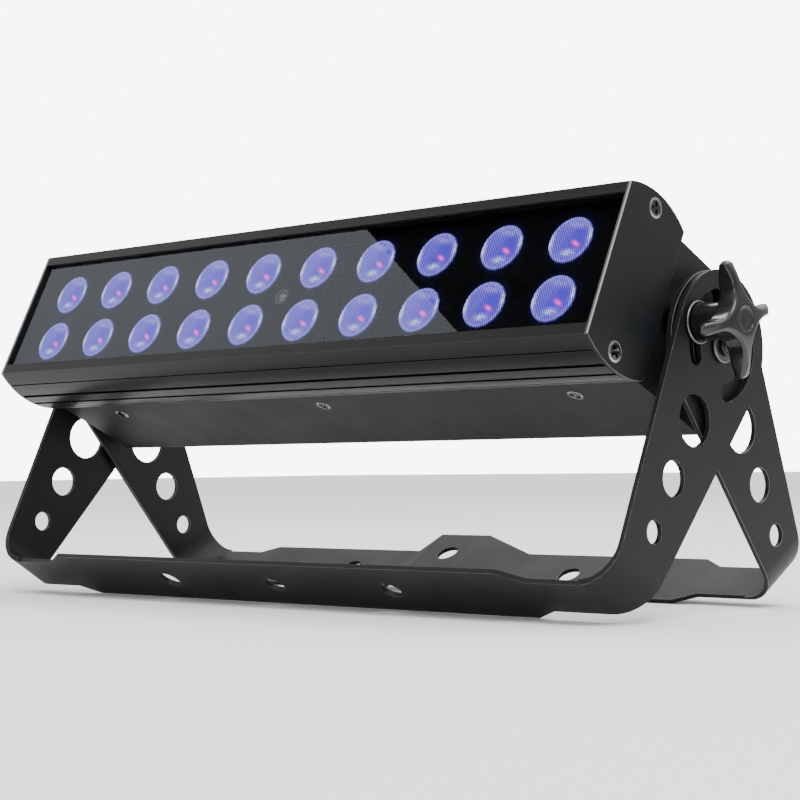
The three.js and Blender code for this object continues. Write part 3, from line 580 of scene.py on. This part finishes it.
# No two screws stop at the same angle.
for hand, side in SIDES:
    for row, level in ROWS:
        spin = Matrix.Rotation(0.35 - 0.2 * level + 0.3 * side, 4, "X")
        at = Matrix.Translation(Vector((side * PLATE_OUTER, -63.7, level * 38.3)) * MM)
        flip = Matrix.Rotation(0 if side > 0 else math.pi, 4, "Y")
        obj = link(f"fine_screw_{hand}_{row}", PLATE_SCREW.copy(), HOUSING @ at @ flip @ spin)
        finish_piece(obj, f"end_plate_screw_{hand}_{row}")
for row, level in ROWS:
    for hand, x in (("left", -172), ("middle", 0), ("right", 172)):
        at = Matrix.Translation(Vector((x, -26, level * 39.3)) * MM)
        point = Matrix.Rotation(-level * math.pi / 2, 4, "Y")
        spin = Matrix.Rotation(0.02 * x + level, 4, "X")
        obj = link(f"fine_cover_screw_{row}_{hand}", COVER_SCREW.copy(),
                   HOUSING @ at @ point @ spin)
        finish_piece(obj, f"cover_screw_{row}_{hand}")

# ---- lenses ----------------------------------------------------------------------------------

LENS = turned_mesh("lens", [
    (0, 67.95), (5.6, 67.95), (6.05, 68.3), (11.5, 77.3), (12.5, 77.32), (LENS_RADIUS, 77.5),
    (LENS_RADIUS, 79.1), (12.6, 79.4), (12.3, 79.62), (9.0, 79.78), (5.0, 79.9), (0, 79.97),
], 64, "forward", [LENS_SIDE, LENS_FACE], [0] * 6 + [1] * 5)
for row, level in ROWS:
    for column in range(LENS_COLUMNS):
        x = (column - (LENS_COLUMNS - 1) / 2) * LENS_PITCH
        at = Matrix.Translation(Vector((x, 0, level * LENS_ROW - LENS_DROP)) * MM)
        obj = link(f"fine_lens_{row}_{column + 1:02d}", LENS.copy(), HOUSING @ at)
        finish_piece(obj, f"lens_{row}_{column + 1:02d}")

# ---- star knobs ------------------------------------------------------------------------------

KNOB_IN, KNOB_ARMS, KNOB_OUT = 231.9, 245.8, 256.8
TIP_REACH, TIP_RADIUS, WAIST, CAP = 28.1, 3.5, 10.6, 6.0
DOME_REACH, DOME_DROP = 26.0, 3.2
HUB, BORE = 9.0, 4.3
KNOB_TURN = math.radians(39.5)


def star_points(count):
    """The knob's outline and its outward normals, at `count` points evenly spaced about the axis.

    Four round tips are joined by hollow arcs that touch both neighbouring tips.
    """
    tip = TIP_REACH - TIP_RADIUS
    diagonal = math.sqrt(0.5) * tip
    hollow = ((tip ** 2 + WAIST ** 2 - 2 * diagonal * WAIST - TIP_RADIUS ** 2)
              / (2 * (diagonal + TIP_RADIUS - WAIST)))
    centre = WAIST + hollow
    lean = math.atan2(centre * math.sqrt(0.5), centre * math.sqrt(0.5) - tip)
    meet = math.atan2(TIP_RADIUS * math.sin(lean), tip + TIP_RADIUS * math.cos(lean))
    points = []
    for i in range(count):
        angle = 2 * math.pi * i / count
        arm = round(angle / (math.pi / 2)) * math.pi / 2
        off = angle - arm
        if abs(off) <= meet:
            reach = tip * math.cos(off) + math.sqrt(TIP_RADIUS ** 2 - (tip * math.sin(off)) ** 2)
            middle, outward = Vector((tip, 0)), 1
        else:
            bend = math.copysign(math.pi / 4, off)
            reach = (centre * math.cos(off - bend)
                     - math.sqrt(hollow ** 2 - (centre * math.sin(off - bend)) ** 2))
            middle, outward = Vector((math.cos(bend), math.sin(bend))) * centre, -1
        at = Vector((math.cos(off), math.sin(off))) * reach
        normal = (at - middle).normalized() * outward
        turn = Matrix.Rotation(arm + KNOB_TURN, 2)
        points.append((turn @ at, turn @ normal))
    return points


def knob_mesh():
    """A four-armed knob: hollow flanks, rounded ridges, and a face that falls away to the tips."""
    count = 176
    star = star_points(count)
    front_round, rear_round = 1.8, 1.6

    def circle(radius):
        return [p.normalized() * radius for p, _ in star]

    def inset(amount):
        return [p - n * amount for p, n in star]

    def between(a, b, t):
        return [p * (1 - t) + q * t for p, q in zip(a, b)]

    def flat(ring, height):
        return [(p, height) for p in ring]

    def near_tip(p):
        return (max(0.0, p.length - 20) / 8) ** 2

    def on_face(ring, drop=0.0):
        return [(p, KNOB_OUT - DOME_DROP * (max(p.length, CAP) ** 2 - CAP ** 2) / DOME_REACH ** 2
                 - 1.6 * near_tip(p) - drop) for p in ring]

    def on_back(ring, rise=0.0):
        return [(p, KNOB_ARMS + 2.4 * near_tip(p) + rise) for p in ring]

    layers = [flat(circle(BORE), KNOB_ARMS - 1), flat(circle(BORE), KNOB_IN + 0.4),
              flat(circle(4.7), KNOB_IN), flat(circle(8.4), KNOB_IN),
              flat(circle(8.85), KNOB_IN + 0.2), flat(circle(HUB), KNOB_IN + 0.7),
              flat(circle(HUB), KNOB_ARMS - 0.3)]
    under = inset(rear_round)
    for t in (0.12, 0.35, 0.65):
        layers.append(on_back(between(circle(HUB), under, t)))
    steps = 6
    for i in range(steps + 1):
        a = math.pi / 2 * i / steps
        layers.append(on_back(inset(rear_round * (1 - math.sin(a))),
                              rear_round * (1 - math.cos(a))))
    for i in range(steps + 1):
        a = math.pi / 2 * i / steps
        layers.append(on_face(inset(front_round * (1 - math.cos(a))),
                              front_round * (1 - math.sin(a))))
    top = inset(front_round)
    for t in (0.2, 0.4, 0.6, 0.8):
        layers.append(on_face(between(top, circle(CAP + 0.6), t)))
    layers += [on_face(circle(CAP + 0.6)), flat(circle(CAP + 0.15), KNOB_OUT - 0.12),
               flat(circle(CAP), KNOB_OUT - 0.35), flat(circle(CAP - 0.25), KNOB_OUT - 0.45),
               flat(circle(3.0), KNOB_OUT - 0.3)]
    bm = bmesh.new()
    rings = [[bm.verts.new(Vector((h, p.x, p.y)) * MM) for p, h in ring] for ring in layers]
    for low, high in zip(rings, rings[1:]):
        for i in range(count):
            j = (i + 1) % count
            bm.faces.new((low[i], low[j], high[j], high[i]))
    for ring, h in ((rings[0], KNOB_ARMS - 1), (rings[-1], KNOB_OUT - 0.28)):
        centre = bm.verts.new(Vector((h, 0, 0)) * MM)
        for i in range(count):
            bm.faces.new((ring[i], ring[(i + 1) % count], centre))
    bmesh.ops.recalc_face_normals(bm, faces=bm.faces)
    mesh = bpy.data.meshes.new("star_knob")
    bm.to_mesh(mesh)
    bm.free()
    mesh.materials.append(KNOB)
    return mesh


STAR = knob_mesh()
for hand, side in SIDES:
    low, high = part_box("clamp_stud_" + hand)
    axis = (low + high) / 2
    axis.x = 0
    # The knob's mesh is drawn with the housing upright, so it takes the housing's tilt.
    tilt = Matrix.Rotation(-TILT, 4, "X")
    flip = Matrix.Rotation(0 if side > 0 else math.pi, 4, "Y")
    obj = link("fine_knob_" + hand, STAR.copy(), Matrix.Translation(axis) @ tilt @ flip)
    finish_piece(obj, "clamp_knob_" + hand)

# ---- floor, light and the card that the glass reflects ---------------------------------------

def plane(name, corners, material):
    """A flat sheet of the studio, which isn't part of the lamp."""
    mesh = bpy.data.meshes.new(name)
    mesh.from_pydata([tuple(c) for c in corners], [], [tuple(range(len(corners)))])
    mesh.materials.append(material)
    link(name, mesh)


def plain(name, colour, roughness):
    """A matt material without gloss."""
    return Graph(name, colour, roughness, Specular_IOR_Level=0.0).material


FLOOR = plain("floor_white", (0.97, 0.97, 0.97), 0.9)
CARD = plain("card_black", (0.0, 0.0, 0.0), 1.0)
FLOOR_HALF, FLOOR_LEVEL = 9, -0.0002
plane("floor", [(FLOOR_HALF * x, FLOOR_HALF * y, FLOOR_LEVEL)
                for x, y in ((-1, -1), (1, -1), (1, 1), (-1, 1))], FLOOR)

# The reflection of the card's left edge crosses the glass from CARD_TOP_X, at CARD_HALF_HEIGHT
# above its middle, to CARD_LOW_X, as far below. The card hangs CARD_AWAY metres from the glass.
CARD_TOP_X, CARD_LOW_X, CARD_RIGHT_X, CARD_HALF_HEIGHT = 18, 173, 330, 60
CARD_AWAY = 1.15


def black_card():
    """A card out of view, which the right part of the glass reflects."""
    def on_glass(x, z):
        return HOUSING @ (Vector((x, -GLASS_FRONT, z)) * MM)

    eye = Vector(CAMERA_AT)
    image = eye - 2 * (eye - on_glass(0, 0)).dot(FORWARD) * FORWARD

    def thrown(x, side):
        at = on_glass(x, side * CARD_HALF_HEIGHT)
        away = (at - image).normalized()
        return at + away * CARD_AWAY

    plane("card", [thrown(CARD_TOP_X, 1), thrown(CARD_LOW_X, -1),
                   thrown(CARD_RIGHT_X, -1), thrown(CARD_RIGHT_X, 1)], CARD)


black_card()


def area(name, at, to, size, power):
    """A rectangular lamp at `at` that faces `to`."""
    data = bpy.data.lights.new(name, "AREA")
    data.shape = "RECTANGLE"
    data.size, data.size_y = size
    data.energy = power
    obj = bpy.data.objects.new(name, data)
    bpy.context.scene.collection.objects.link(obj)
    aim = (Vector(to) - Vector(at)).to_track_quat("-Z", "Y")
    obj.matrix_world = Matrix.Translation(at) @ aim.to_matrix().to_4x4()


area("key", (1.0, -0.6, 1.5), (0.1, 0, 0.12), (1.0, 0.8), 16)
area("top", (-0.1, 0.7, 1.8), (0, 0, 0.1), (1.8, 0.9), 18)
area("front", (0.2, -1.9, 0.7), (0, 0, 0.1), (1.6, 0.5), 6)


def studio_world():
    """A studio that is bright overhead and dim at the sides, behind a white backdrop."""
    world = bpy.data.worlds.new("studio")
    world.use_nodes = True
    tree = world.node_tree

    def ramp(value, low, high, to_low, to_high, kind="LINEAR"):
        made = tree.nodes.new("ShaderNodeMapRange")
        made.interpolation_type = kind
        for name, number in zip(("From Min", "From Max", "To Min", "To Max"),
                                (low, high, to_low, to_high)):
            made.inputs[name].default_value = number
        tree.links.new(value, made.inputs["Value"])
        return made

    direction = tree.nodes.new("ShaderNodeSeparateXYZ")
    tree.links.new(tree.nodes.new("ShaderNodeTexCoord").outputs["Generated"], direction.inputs[0])
    light = ramp(direction.outputs["Z"], 0.0, 0.75, 0.42, 1.6, "SMOOTHSTEP")
    seen = tree.nodes.new("ShaderNodeLightPath").outputs["Is Camera Ray"]
    strength = ramp(seen, 0, 1, 0, 8.0)
    tree.links.new(light.outputs[0], strength.inputs["To Min"])
    tree.links.new(strength.outputs[0], tree.nodes["Background"].inputs["Strength"])
    tree.nodes["Background"].inputs["Color"].default_value = (1, 1, 1, 1)
    bpy.context.scene.world = world


studio_world()
